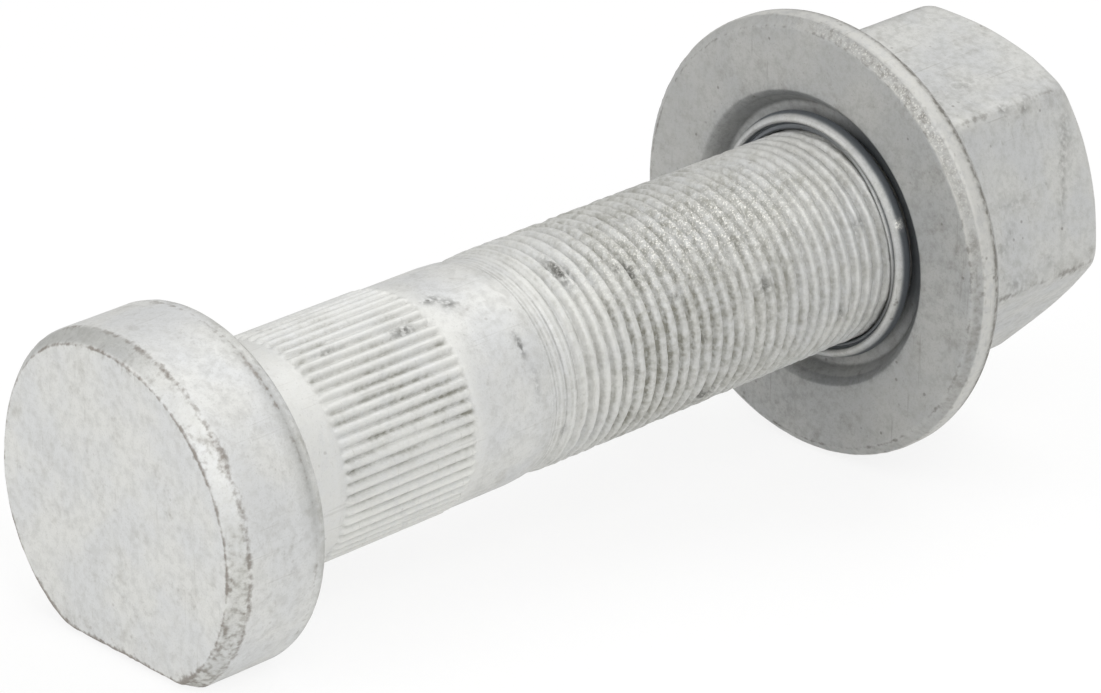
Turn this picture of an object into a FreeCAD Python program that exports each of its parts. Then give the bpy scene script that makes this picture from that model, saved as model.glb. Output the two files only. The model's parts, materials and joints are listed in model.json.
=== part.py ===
import FreeCAD, Part
import math
import os
import Sketcher

# A press-in wheel bolt with its hexagon nut and the loose washer that the nut carries.
# Every piece is drawn along its own X axis, then laid down as the set comes to rest:
# on the head's flat, behind its eased front edge, and on the washer's rim, with +X from head to nut.

SIZES = [
    # The bolt's head: bevelled round disc with one flat side
    ("head_diameter", 34.5),
    ("head_height", 11.0),
    ("head_bevel_length", 1.8),
    ("head_bevel_width", 1.1),
    ("head_back_round", 1.2),
    ("flat_offset", 13.9),
    ("flat_front_offset", 13.25),
    # The neck under the head
    ("neck_diameter", 21.9),
    ("neck_length", 7.4),
    ("neck_fillet", 1.0),
    # The straight-serrated press seat
    ("serration_diameter", 22.3),
    ("serration_length", 16.3),
    ("serration_depth", 0.42),
    ("serration_angle", 90.0),
    ("serration_count", 60),
    # The plain shank and the waist where the rolled thread runs out
    ("shank_diameter", 22.0),
    ("shank_length", 7.8),
    ("waist_depth", 0.35),
    ("waist_fall_length", 3.0),
    ("waist_rise_length", 2.4),
    # The threaded end, drawn at its outer diameter
    ("thread_diameter", 22.0),
    ("thread_length", 62.1),
    ("tip_chamfer", 1.3),
    # How far the tip lies inside the nut's outer end
    ("tip_recess", 6.05),
    # The washer, with a recess in its bearing face for the nut's lip
    ("washer_diameter", 46.0),
    ("washer_thickness", 3.5),
    ("rim_bevel_length", 0.9),
    ("rim_bevel_width", 1.0),
    ("rim_back_bevel", 0.4),
    ("shoulder_thickness", 1.3),
    ("recess_floor_width", 1.0),
    ("recess_taper", 1.0),
    ("recess_bevel", 0.5),
    # The nut: hexagon, collar through the washer and flared lip
    ("nut_across_flats", 32.0),
    ("nut_height", 22.3),
    ("nut_corner_round", 2.0),
    ("nut_end_inset", 0.9),
    ("nut_base_corner_cut", 1.4),
    ("nut_bevel_angle", 30.0),
    ("nut_clock_angle", 12.3),
    ("collar_wall", 0.95),
    ("lip_flare", 0.8),
    ("lip_length", 1.4),
    ("lip_round", 0.35),
    ("lip_chamfer", 0.5),
    ("bore_chamfer", 0.9),
    # Fits between the pieces, measured on one side
    ("thread_gap", 0.05),
    ("collar_gap", 0.15),
    ("seat_gap", 0.15),
]

# How far a cutting outline reaches past the skin that it cuts
CUT_MARGIN = 2.0
# Two measures nearer than this are the same place
SAME_PLACE = 1e-4

# Places along the bolt, from the outer face of its head
UNDER_HEAD = "dims.head_height"
SERRATION_START = f"{UNDER_HEAD} + dims.neck_length"
SERRATION_END = f"{SERRATION_START} + dims.serration_length"
SHANK_END = f"{SERRATION_END} + dims.shank_length"
WAIST = f"{SHANK_END} + dims.waist_fall_length"
THREAD_START = f"{WAIST} + dims.waist_rise_length"
TIP = f"{THREAD_START} + dims.thread_length"

# The washer's bearing face, set by the nut's stack of lengths from the tip
SEAT = f"{TIP} + dims.tip_recess - dims.nut_height - dims.seat_gap - dims.washer_thickness"

# The recess in the bearing face, and how far the lip lies below that face
RECESS_DEPTH = "dims.washer_thickness - dims.shoulder_thickness"
LIP_RECESS = f"({RECESS_DEPTH} - dims.lip_length - dims.seat_gap)"

# Radii that fit in one another: bolt thread, nut bore, collar, lip, then the washer's bore and recess
NUT_BORE = "dims.thread_diameter / 2 + dims.thread_gap"
COLLAR = f"{NUT_BORE} + dims.collar_wall"
LIP = f"{COLLAR} + dims.lip_flare"
WASHER_BORE = f"{COLLAR} + dims.collar_gap"
RECESS_FLOOR = f"{LIP} + dims.recess_floor_width"
RECESS_MOUTH = f"{RECESS_FLOOR} + dims.recess_taper"

doc = FreeCAD.newDocument("wheel_bolt_set")
dims = doc.addObject("Spreadsheet::Sheet", "dims")
for row, (alias, value) in enumerate(SIZES, start=1):
    dims.set(f"A{row}", alias)
    dims.set(f"B{row}", str(value))
    dims.setAlias(f"B{row}", alias)
doc.recompute()


def size(expression):
    # Value of an expression over the sheet, in millimetres
    return float(dims.evalExpression(expression))


def new_body(label):
    body = doc.addObject("PartDesign::Body", label)
    body.Label = label
    return body


def new_sketch(body, role, name, offset=None):
    # Sketch on one of the body's own origin planes, moved along the plane's normal by an expression
    sketch = body.newObject("Sketcher::SketchObject", name)
    plane = next(feature for feature in body.Origin.OriginFeatures if feature.Role == role)
    sketch.AttachmentSupport = [(plane, "")]
    sketch.MapMode = "FlatFace"
    if offset:
        sketch.setExpression("AttachmentOffset.Base.z", offset)
    return sketch


def draw_outline(sketch, corners):
    # Closed outline whose corners are pairs of expressions; a corner at "0" is held on that axis
    points = [FreeCAD.Vector(size(x), size(y), 0) for x, y in corners]
    for i, point in enumerate(points):
        sketch.addGeometry(Part.LineSegment(point, points[(i + 1) % len(points)]), False)
    for i in range(len(points)):
        sketch.addConstraint(Sketcher.Constraint("Coincident", i, 2, (i + 1) % len(points), 1))
    for i, corner in enumerate(corners):
        drives = zip(("DistanceX", "DistanceY"), (-2, -1), corner, points[i][:2])
        for kind, axis, expression, value in drives:
            if expression == "0":
                sketch.addConstraint(Sketcher.Constraint("PointOnObject", i, 1, axis))
            else:
                index = sketch.addConstraint(Sketcher.Constraint(kind, -1, 1, i, 1, value))
                sketch.setExpression(f"Constraints[{index}]", expression)


def turned(body, kind, name, corners):
    # Outline in the plane of the X axis, carried round that axis
    sketch = new_sketch(body, "XZ_Plane", name + "_outline")
    draw_outline(sketch, corners)
    feature = body.newObject("PartDesign::" + kind, name)
    feature.Profile = sketch
    feature.ReferenceAxis = (sketch, ["H_Axis"])
    feature.Angle = 360.0
    doc.recompute()
    return feature


def straight(body, kind, name, corners, length, offset=None):
    # Outline across the X axis, carried along +X
    sketch = new_sketch(body, "YZ_Plane", name + "_outline", offset)
    draw_outline(sketch, corners)
    feature = body.newObject("PartDesign::" + kind, name)
    feature.Profile = sketch
    feature.Reversed = kind == "Pocket"
    feature.setExpression("Length", length)
    doc.recompute()
    return feature


def planed(body, name, corners, width):
    # Outline in the plane of the X axis, cut away to both sides of that plane
    sketch = new_sketch(body, "XZ_Plane", name + "_outline")
    draw_outline(sketch, corners)
    feature = body.newObject("PartDesign::Pocket", name)
    feature.Profile = sketch
    feature.SideType = "Symmetric"
    feature.setExpression("Length", width)
    doc.recompute()
    return feature


def rounded(body, name, base, edges, radius):
    feature = body.newObject("PartDesign::Fillet", name)
    feature.Base = (base, edges)
    feature.setExpression("Radius", radius)
    doc.recompute()
    return feature


def ring_edges(feature, along, radius):
    # Names of the circular edges at a place on the X axis with a given radius
    names = []
    for i, edge in enumerate(feature.Shape.Edges, start=1):
        ring = edge.Curve
        if isinstance(ring, Part.Circle):
            misses = (ring.Center.x - size(along), ring.Radius - size(radius))
            if max(map(abs, misses)) < SAME_PLACE:
                names.append(f"Edge{i}")
    return names


def long_edges(feature):
    # Names of the straight edges that run along the X axis
    names = []
    for i, edge in enumerate(feature.Shape.Edges, start=1):
        if isinstance(edge.Curve, Part.Line) and abs(abs(edge.Curve.Direction.x) - 1) < SAME_PLACE:
            names.append(f"Edge{i}")
    return names


def make_bolt():
    body = new_body("wheel_bolt")
    head = "dims.head_diameter / 2"
    neck = "dims.neck_diameter / 2"
    crest = "dims.serration_diameter / 2"
    shank = "dims.shank_diameter / 2"
    thread = "dims.thread_diameter / 2"
    blank = turned(body, "Revolution", "blank", [
        ("0", "0"),
        ("0", f"{head} - dims.head_bevel_width"),
        ("dims.head_bevel_length", head),
        (UNDER_HEAD, head),
        (UNDER_HEAD, neck),
        (SERRATION_START, neck),
        (SERRATION_START, crest),
        (SERRATION_END, crest),
        (SERRATION_END, shank),
        (SHANK_END, shank),
        (WAIST, f"{thread} - dims.waist_depth"),
        (THREAD_START, thread),
        (f"{TIP} - dims.tip_chamfer", thread),
        (TIP, f"{thread} - dims.tip_chamfer"),
        (TIP, "0"),
    ])
    back = rounded(body, "head_back", blank, ring_edges(blank, UNDER_HEAD, head), "dims.head_back_round")
    rounded(body, "neck_root", back, ring_edges(back, UNDER_HEAD, neck), "dims.neck_fillet")

    # The flat side of the head, eased over the bevel's length at its front
    reach = f"({head} + {CUT_MARGIN})"
    planed(body, "head_flat", [
        ("0", "-dims.flat_front_offset"),
        ("dims.head_bevel_length", "-dims.flat_offset"),
        (UNDER_HEAD, "-dims.flat_offset"),
        (UNDER_HEAD, f"-{reach}"),
        ("0", f"-{reach}"),
    ], f"2 * {reach}")

    # One groove between two serrations: a V that opens past the crests, repeated round the shank
    half_mouth = f"((dims.serration_depth + {CUT_MARGIN}) * tan(dims.serration_angle / 2 * 1 deg))"
    groove = straight(body, "Pocket", "serration_groove", [
        ("0", f"{crest} - dims.serration_depth"),
        (half_mouth, f"{crest} + {CUT_MARGIN}"),
        (f"-{half_mouth}", f"{crest} + {CUT_MARGIN}"),
    ], "dims.serration_length", SERRATION_START)
    ring = body.newObject("PartDesign::PolarPattern", "serrations")
    ring.Originals = [groove]
    ring.Axis = (groove.Profile[0], ["N_Axis"])
    ring.Angle = 360.0
    ring.setExpression("Occurrences", "dims.serration_count")
    body.Tip = ring
    doc.recompute()
    return body


def make_washer():
    # The washer's X starts at its bearing face
    body = new_body("thrust_washer")
    rim = "dims.washer_diameter / 2"
    turned(body, "Revolution", "ring", [
        ("dims.recess_bevel", RECESS_MOUTH),
        ("0", f"{RECESS_MOUTH} + dims.recess_bevel"),
        ("0", f"{rim} - dims.rim_bevel_width"),
        ("dims.rim_bevel_length", rim),
        ("dims.washer_thickness - dims.rim_back_bevel", rim),
        ("dims.washer_thickness", f"{rim} - dims.rim_back_bevel"),
        ("dims.washer_thickness", WASHER_BORE),
        (RECESS_DEPTH, WASHER_BORE),
        (RECESS_DEPTH, RECESS_FLOOR),
    ])
    return body


def make_nut():
    # The nut's X starts at the front of its lip
    body = new_body("wheel_nut")
    base = "(dims.lip_length + dims.shoulder_thickness + 2 * dims.seat_gap)"
    end = f"({base} + dims.nut_height)"
    corner = "dims.nut_across_flats / sqrt(3)"
    flat = "dims.nut_across_flats / 2"
    hexagon = straight(body, "Pad", "hexagon", [
        (corner, "0"),
        (f"{corner} / 2", flat),
        (f"-{corner} / 2", flat),
        (f"-{corner}", "0"),
        (f"-{corner} / 2", f"-{flat}"),
        (f"{corner} / 2", f"-{flat}"),
    ], "dims.nut_height", base)
    rounded(body, "corner_rounds", hexagon, long_edges(hexagon), "dims.nut_corner_round")

    # Both ends of the hexagon are turned to a cone that cuts its corners back
    reach = f"({corner} + {CUT_MARGIN})"
    slope = "tan(dims.nut_bevel_angle * 1 deg)"
    end_land = f"({flat} - dims.nut_end_inset)"
    base_land = f"({corner} - dims.nut_base_corner_cut)"
    turned(body, "Groove", "end_bevel", [
        (end, end_land),
        (end, reach),
        (f"{end} - ({reach} - {end_land}) * {slope}", reach),
    ])
    turned(body, "Groove", "base_bevel", [
        (base, base_land),
        (base, reach),
        (f"{base} + ({reach} - {base_land}) * {slope}", reach),
    ])

    # The collar goes through the washer and flares into the lip behind which the washer is caught
    turned(body, "Revolution", "collar", [
        ("0", NUT_BORE),
        ("0", f"{LIP} - dims.lip_round"),
        ("dims.lip_round", LIP),
        ("dims.lip_length - dims.lip_flare / 2", LIP),
        ("dims.lip_length", COLLAR),
        (base, COLLAR),
        (base, NUT_BORE),
    ])
    turned(body, "Groove", "bore", [
        ("0", "0"),
        ("0", f"{NUT_BORE} + dims.lip_chamfer"),
        ("dims.lip_chamfer", NUT_BORE),
        (f"{end} - dims.bore_chamfer", NUT_BORE),
        (end, f"{NUT_BORE} + dims.bore_chamfer"),
        (end, "0"),
    ])
    return body


def lay_down(bolt, washer, nut):
    # The set rests on the front of the head's flat and on the front edge of the washer's rim
    seat = size(SEAT)
    rise = size("dims.washer_diameter / 2 - dims.flat_offset")
    run = seat + size("dims.rim_bevel_length - dims.head_bevel_length")
    tilt = FreeCAD.Rotation(FreeCAD.Vector(0, -1, 0), math.degrees(math.atan2(rise, run)))
    clock = FreeCAD.Rotation(FreeCAD.Vector(1, 0, 0), size("dims.nut_clock_angle"))
    stations = (
        (bolt, 0.0, tilt),
        (washer, seat, tilt),
        (nut, seat + size(LIP_RECESS), tilt.multiply(clock)),
    )
    for body, along, turn in stations:
        body.Placement = FreeCAD.Placement(tilt.multVec(FreeCAD.Vector(along, 0, 0)), turn)
    doc.recompute()
    # The origin is under the middle of the set's box
    box = Part.makeCompound([body.Shape for body, along, turn in stations]).optimalBoundingBox(False)
    middle = FreeCAD.Vector(box.Center.x, box.Center.y, box.ZMin)
    for body, along, turn in stations:
        body.Placement.Base = body.Placement.Base - middle
    doc.recompute()


pieces = [make_bolt(), make_washer(), make_nut()]
lay_down(*pieces)

for item in doc.Objects:
    if any(state in ("Invalid", "Error") for state in item.State):
        raise RuntimeError(f"{item.Name} failed: {item.State}")
for piece in pieces:
    if piece.Shape.isNull() or not piece.Shape.isValid() or len(piece.Shape.Solids) != 1:
        raise RuntimeError(f"{piece.Label} is not one valid solid")

os.makedirs("parts", exist_ok=True)
for piece in pieces:
    piece.Shape.exportStep(f"parts/{piece.Label}.step")
    box = piece.Shape.BoundBox
    print(piece.Label, round(piece.Shape.Volume, 1), "mm3,", len(piece.Shape.Faces), "faces,",
          [round(v, 2) for v in (box.XMin, box.YMin, box.ZMin, box.XMax, box.YMax, box.ZMax)])
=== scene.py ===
import json
import math
import bpy
import numpy as np
from mathutils import Matrix, Vector


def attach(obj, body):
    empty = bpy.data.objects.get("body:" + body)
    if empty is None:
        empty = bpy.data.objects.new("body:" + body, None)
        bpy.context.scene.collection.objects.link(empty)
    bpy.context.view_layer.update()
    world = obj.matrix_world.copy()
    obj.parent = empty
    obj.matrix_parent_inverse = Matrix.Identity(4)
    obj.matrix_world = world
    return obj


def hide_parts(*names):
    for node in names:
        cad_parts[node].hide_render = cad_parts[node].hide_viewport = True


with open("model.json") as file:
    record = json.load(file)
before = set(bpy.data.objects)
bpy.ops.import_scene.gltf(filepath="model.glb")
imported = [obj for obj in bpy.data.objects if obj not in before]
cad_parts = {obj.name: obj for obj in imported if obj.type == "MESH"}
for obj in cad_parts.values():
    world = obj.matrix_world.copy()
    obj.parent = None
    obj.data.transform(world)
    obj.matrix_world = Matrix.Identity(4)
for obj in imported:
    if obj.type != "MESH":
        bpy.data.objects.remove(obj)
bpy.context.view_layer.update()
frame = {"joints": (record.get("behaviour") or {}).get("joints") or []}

# The bolt's own axes: the nut's hinge gives the direction and the point on the axis at the washer's face
nutTurn = next(joint for joint in frame["joints"] if joint["name"] == "nut_turn")
axisAlong = np.array(nutTurn["axis"], float)
axisAlong /= np.linalg.norm(axisAlong)
axisSide = np.array([0.0, 1.0, 0.0])
axisUp = np.cross(axisAlong, axisSide)
seatPlace = 90.1  # mm from the head's outer face to the washer's bearing face
headCentre = np.array(nutTurn["pos_m"], float) - 0.001 * seatPlace * axisAlong
threadPitch = 1.5  # mm
print("frame read, bolt axis", axisAlong.round(4))


def softNoise(spots, grain, seed):
    # Lattice noise from -1 to 1: each corner of a cell of size grain has a random height, and the heights are
    # blended by 3t^2 - 2t^3 along the three axes
    cell = np.floor(spots / grain).astype(np.int64)
    part = spots / grain - cell
    part = part * part * (3 - 2 * part)
    total = np.zeros(spots.shape[:-1])
    for corner in range(8):
        step = np.array([corner & 1, corner >> 1 & 1, corner >> 2 & 1])
        key = ((cell + step) * np.array([73856093, 19349663, 83492791])).sum(-1) + seed * 668265263
        key = (key ^ key >> 13) * 1274126177 & 0x7FFFFFFF
        height = ((key ^ key >> 15) % 20011) / 10005.0 - 1
        total += height * np.where(step, part, 1 - part).prod(-1)
    return total


def softStep(low, high, value):
    # 3t^2 - 2t^3 with t running from 0 at low to 1 at high
    t = np.clip((value - low) / (high - low), 0, 1)
    return t * t * (3 - 2 * t)


def softLeast(one, other, blend):
    # The smaller of two lengths, with a parabola of width blend where they cross
    share = np.clip(0.5 + 0.5 * (other - one) / blend, 0, 1)
    return other + (one - other) * share - blend * share * (1 - share)


def roundedLine(corners, cuts, runs, bends, closed=False):
    # A line through corners (corner, angle, [along, radius]); each corner is replaced by the parabola that
    # leaves its two legs at the distance cuts, and points crowd towards the ends of the straight runs
    count = len(corners)
    cuts = np.broadcast_to(np.array([np.broadcast_to(c, corners.shape[1]) for c in cuts])[..., None],
                           corners.shape[:2] + (1,))
    legs = np.roll(corners, -1, 0) - corners
    reach = np.linalg.norm(legs, axis=-1, keepdims=True)
    cut = np.minimum(cuts, 0.48 * np.minimum(reach, np.roll(reach, 1, 0)))
    if not closed:
        cut[0] = cut[-1] = 0
    unit = legs / reach
    leave = corners + unit * cut
    arrive = np.roll(corners, -1, 0) - unit * np.roll(cut, -1, 0)
    rows = []
    for k in range(count if closed else count - 1):
        t = softStep(0, 1, np.linspace(0, 1, runs[k] + 2))[:, None, None]
        rows.append(leave[k] + (arrive[k] - leave[k]) * t)
        after = (k + 1) % count
        if closed or k < count - 2:
            t = np.linspace(0, 1, bends[after] + 2)[1:-1, None, None]
            rows.append((1 - t) ** 2 * arrive[k] + 2 * t * (1 - t) * corners[after] + t ** 2 * leave[after])
    return np.concatenate(rows)


def roundAxis(line, angles):
    # A radius turned about the bolt's axis: (along, r cos, r sin) in mm from the head's centre
    return np.stack([line[..., 0], line[..., 1] * np.cos(angles), line[..., 1] * np.sin(angles)], -1)


def bandFaces(ids):
    # Quads between each row of ids and the next one, closed round the axis
    after = np.roll(ids, -1, 1)
    return np.stack([ids[:-1], after[:-1], after[1:], ids[1:]], -1).reshape(-1, 4)


def threadCut(along, angles, crest=0.3, root=0.95):
    # Right-hand thread: 0 on the flat crest and 1 in the root, 3t^2 - 2t^3 between; the way from the crest's
    # middle to the root's middle is 1
    phase = along / threadPitch - angles / (2 * math.pi)
    return softStep(crest, root, 2 * np.abs(phase - np.round(phase)))


def helixRows(start, end, perTurn, angles):
    # Way along the profile for a sheet that climbs one pitch per trip round the axis: every row keeps one
    # place of the thread, so crests and roots lie on grid lines
    count = int((end - start - threadPitch) / threadPitch * perTurn)
    climb = threadPitch * (angles - angles[0]) / (2 * math.pi)
    return start + threadPitch * np.arange(count)[:, None] / perTurn + climb


def helixFaces(ids, perTurn, firstRing, lastRing):
    # The sheet's quads, its seam (row i runs on into row i + perTurn) and the faces that square both ends off
    # to a ring, with one many-sided face at each end
    body = np.stack([ids[:-1, :-1], ids[:-1, 1:], ids[1:, 1:], ids[1:, :-1]], -1).reshape(-1, 4)
    low, high = ids[: -1 - perTurn, -1], ids[perTurn:-1, 0]
    seam = np.stack([low, high, ids[perTurn + 1:, 0], ids[1:-perTurn, -1]], -1)
    first = np.stack([firstRing[:-1], firstRing[1:], ids[0, 1:], ids[0, :-1]], -1)
    last = np.stack([ids[-1, :-1], ids[-1, 1:], lastRing[1:], lastRing[:-1]], -1)
    firstGap = np.concatenate([firstRing[[-1, 0]], ids[: perTurn + 1, 0], ids[:1, -1]])[None]
    lastGap = np.concatenate([ids[-1 - perTurn: -perTurn, -1], ids[-1:, 0], lastRing[[0, -1]],
                              ids[:-1 - perTurn:-1, -1]])[None]
    return [body, seam, first, last, firstGap, lastGap]


def addPiece(name, spots, faces, marks, node, body, material):
    # Spots in mm along, beside and above the bolt's axis are put into the shared frame, in metres
    place = headCentre + 0.001 * spots @ np.stack([axisAlong, axisSide, axisUp])
    sides = np.concatenate([np.full(len(part), part.shape[1]) for part in faces])
    loops = np.concatenate([part.ravel() for part in faces])
    mesh = bpy.data.meshes.new(name)
    mesh.vertices.add(len(place))
    mesh.vertices.foreach_set("co", place.ravel())
    mesh.loops.add(len(loops))
    mesh.loops.foreach_set("vertex_index", loops.astype(np.int32))
    mesh.polygons.add(len(sides))
    mesh.polygons.foreach_set("loop_start", (np.cumsum(sides) - sides).astype(np.int32))
    mesh.update(calc_edges=True)
    mesh.validate()
    mesh.shade_smooth()
    for mark, values in dict(marks, place=spots).items():
        layer = mesh.attributes.new(mark, "FLOAT_VECTOR" if values.ndim == 2 else "FLOAT", "POINT")
        layer.data.foreach_set("vector" if values.ndim == 2 else "value", values.astype(np.float32).ravel())
    mesh.materials.append(material)
    piece = bpy.data.objects.new(name, mesh)
    bpy.context.scene.collection.objects.link(piece)
    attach(piece, body)
    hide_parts(node)
    print(name, len(place), "points", int((sides - 2).sum()), "triangles")
    return piece


def hexLinear(code):
    # sRGB hex to linear
    parts = np.array([int(code[i:i + 2], 16) for i in (1, 3, 5)]) / 255
    return tuple(np.where(parts <= 0.04045, parts / 12.92, ((parts + 0.055) / 1.055) ** 2.4)) + (1.0,)


def addNode(tree, kind, links=None, out=0, **settings):
    # One node with its settings; links gives each socket a value or another node's output
    node = tree.nodes.new(kind)
    for key, value in settings.items():
        setattr(node, key, value)
    for socket, source in (links or {}).items():
        if isinstance(source, bpy.types.NodeSocket):
            tree.links.new(source, node.inputs[socket])
        else:
            node.inputs[socket].default_value = source
    return node.outputs[out] if node.outputs else node


# Noises of the coating, on the piece's own mm coordinates: size of a patch along the bolt, beside and above
# it, detail and roughness. Real flakes are about 0.01 mm, so grain and mottle are drawn coarser to show
coatNoises = {
    "clouds": ((6.5, 6.5, 6.5), 3.0, 0.55),    # thicker and thinner coating
    "mottle": ((0.9, 0.9, 0.9), 4.0, 0.65),    # flakes that lie together
    "pits": ((0.55, 0.55, 0.55), 2.0, 0.5),    # crumbs of dirt and small knocks
    "grain": ((0.2, 0.2, 0.2), 2.0, 0.6),      # single flakes
    "smear": ((2.6, 2.6, 2.6), 5.0, 0.68),     # finger marks and rubbed-on dust
    "patches": ((4.5, 4.5, 4.5), 1.0, 0.5),    # where chips and specks gather
    "scrapes": ((9.0, 0.3, 0.3), 1.0, 0.5),    # thin scratches along the bolt
    "rubs": ((0.3, 0.35, 7.0), 1.0, 0.5),      # thin scratches across it
}


def zincFlake(name, look):
    # Zinc-flake coating: thin zinc and aluminium scales in a binder, dipped, spun off and baked on. The eye
    # sees a light, matt, faintly mottled grey with a soft metal sheen, paler where it is rubbed, with dust in
    # the hollows, thin dark lines where it is chipped along an edge, and smoother, darker steel where it is
    # burnished. The same tones also paint light into the colour: the pale worn tone is also painted light and
    # highlight, the dust tone and the dark bare tone are also painted shade, the chip tone is painted shade
    # along the head's back edge, and the glint tone is painted highlights
    material = bpy.data.materials.new(name)
    material.use_nodes = True
    tree = material.node_tree
    tree.nodes.clear()
    place = addNode(tree, "ShaderNodeAttribute", out=1, attribute_name="place")
    marks = {mark: addNode(tree, "ShaderNodeAttribute", out=2, attribute_name=mark)
             for mark in ("groove", "edge", "wearAndLight", "glint", "bareAndShade", "stain")}
    noises = {}
    for key, (size, detail, rough) in coatNoises.items():
        moved = addNode(tree, "ShaderNodeMapping", {"Vector": place, "Location": [7.3 * len(noises)] * 3,
                                                    "Scale": [1 / side for side in size]})
        noises[key] = addNode(tree, "ShaderNodeTexNoise", {"Vector": moved, "Scale": 1.0, "Detail": detail,
                                                           "Roughness": rough})
    cells = addNode(tree, "ShaderNodeTexVoronoi", {"Vector": place, "Scale": 1 / 1.5, "Randomness": 1.0})

    # Shares from 0 to 1: the noise, its range, and what that range becomes
    ranges = {
        "cool": ("clouds", 0.35, 0.65, 0.0, 1.0),
        "mottled": ("mottle", 0.40, 0.72, 0.0, look["mottled"]),
        "grained": ("grain", 0.48, 0.78, 0.0, look["grained"]),
        "smeared": ("smear", 0.54, 0.74, 0.0, look["smeared"]),
        "rubbing": ("mottle", 0.30, 0.62, 0.4, 1.0),
        "glinting": ("grain", 0.52, 0.66, 0.0, 1.0),
        "dusty": ("smear", 0.32, 0.62, 0.4 * look["dusty"], look["dusty"]),
        "dusted": ("pits", 0.30, 0.70, 0.45, 1.3),
        "scraped": ("scrapes", 0.69, 0.75, 0.0, look["scraped"]),
        "rubs": ("rubs", 0.70, 0.76, 0.0, look["scraped"]),
        "gather": ("patches", 0.36, 0.66, -0.3, 0.3),
        "ragged": ("mottle", 0.25, 0.75, -0.25, 0.25),
        "pitted": ("pits", 0.30, 0.70, -0.4, 0.4),
        "stained": ("pits", 0.34, 0.58, 0.05, 1.0),
        "specked": ("patches", 0.52, 0.64, 0.0, look["specks"]),
        "roughness": ("mottle", 0.3, 0.7, look["rough"] - 0.06, look["rough"] + 0.08),
    }
    shares = {key: addNode(tree, "ShaderNodeMapRange",
                           {0: noises[noise], 1: low, 2: high, 3: toLow, 4: toHigh},
                           interpolation_type="SMOOTHSTEP")
              for key, (noise, low, high, toLow, toHigh) in ranges.items()}
    # pale worn tone over the wear mark: real wear, and painted light and highlights where the marks put it
    paleWearAndLight = addNode(tree, "ShaderNodeMath", {0: marks["wearAndLight"], 1: shares["rubbing"]}, operation="MULTIPLY")
    # glints: painted highlights, as sparkles in the grain where the glint mark lies
    glints = addNode(tree, "ShaderNodeMath", {0: marks["glint"], 1: shares["glinting"]}, operation="MULTIPLY")
    # dust tone over the dust mark: real dust in hollows, and painted shade where the marks put it
    dustAndShadeTone = addNode(tree, "ShaderNodeMath", {0: marks["groove"], 1: shares["dusty"]}, operation="MULTIPLY")
    dustAndShadeTone = addNode(tree, "ShaderNodeMath", {0: dustAndShadeTone, 1: shares["dusted"]}, operation="MULTIPLY",
                   use_clamp=True)
    # chips: nearness to an edge, more in some stretches than in others, with a ragged outline; along the
    # head's back edge these dark lines are partly painted shade
    near = addNode(tree, "ShaderNodeMath", {0: marks["edge"], 1: 1.6, 2: shares["gather"]},
                   operation="MULTIPLY_ADD")
    near = addNode(tree, "ShaderNodeMath", {0: near, 1: shares["ragged"]}, operation="ADD")
    near = addNode(tree, "ShaderNodeMath", {0: near, 1: shares["pitted"]}, operation="ADD")
    chipsAndEdgeShade = addNode(tree, "ShaderNodeMapRange", {0: near, 1: 0.8, 2: 2.1, 3: 0.0, 4: look["chipped"]},
                    interpolation_type="SMOOTHSTEP")
    stains = addNode(tree, "ShaderNodeMath", {0: marks["stain"], 1: shares["stained"]}, operation="MULTIPLY")
    # specks: small discs round the cells' points, only where they gather
    dots = addNode(tree, "ShaderNodeMapRange", {0: cells, 1: 0.06, 2: 0.16, 3: 1.0, 4: 0.0},
                   interpolation_type="SMOOTHSTEP")
    dots = addNode(tree, "ShaderNodeMath", {0: dots, 1: shares["specked"]}, operation="MULTIPLY")

    # layers of colour, each over the ones before
    layers = [(shares["cool"], "cool"), (shares["mottled"], "shade"), (shares["grained"], "shade"),
              (shares["smeared"], "smear"), (paleWearAndLight, "paleWearAndLight"), (dustAndShadeTone, "dustAndShadeTone"), (shares["scraped"], "smear"),
              (shares["rubs"], "smear"), (marks["bareAndShade"], "bareAndShade"), (chipsAndEdgeShade, "chip"), (dots, "chip"),
              (stains, "dirt"), (glints, "glint")]
    colour = hexLinear(look["light"])
    for share, shade in layers:
        colour = addNode(tree, "ShaderNodeMix", {0: share, 6: colour, 7: hexLinear(look[shade])}, out=2,
                         data_type="RGBA")
    # bare steel, and the painted shade and reflection on its mark, and painted glints are smoother than the
    # coating
    smooth = addNode(tree, "ShaderNodeMath", {0: marks["bareAndShade"], 1: glints}, operation="MAXIMUM")
    rough = addNode(tree, "ShaderNodeMath", {0: smooth, 1: -0.24, 2: shares["roughness"]},
                    operation="MULTIPLY_ADD")
    # crumbs stand up from the coating, most where the dust mark lies, which also carries painted shade
    height = addNode(tree, "ShaderNodeMath", {0: noises["grain"], 1: 0.4, 2: noises["mottle"]},
                     operation="MULTIPLY_ADD")
    crumbs = addNode(tree, "ShaderNodeMath", {0: noises["pits"], 1: noises["grain"]}, operation="ADD")
    crumbs = addNode(tree, "ShaderNodeMath", {0: crumbs, 1: marks["groove"]}, operation="MULTIPLY")
    height = addNode(tree, "ShaderNodeMath", {0: crumbs, 1: look["crumbs"], 2: height},
                     operation="MULTIPLY_ADD")
    bump = addNode(tree, "ShaderNodeBump", {"Height": height, "Strength": look["bump"], "Distance": 0.0001})
    shader = addNode(tree, "ShaderNodeBsdfPrincipled", {"Base Color": colour, "Roughness": rough,
                                                        "Normal": bump, "Metallic": look["metal"]})
    addNode(tree, "ShaderNodeOutputMaterial", {"Surface": shader})
    return material


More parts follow.
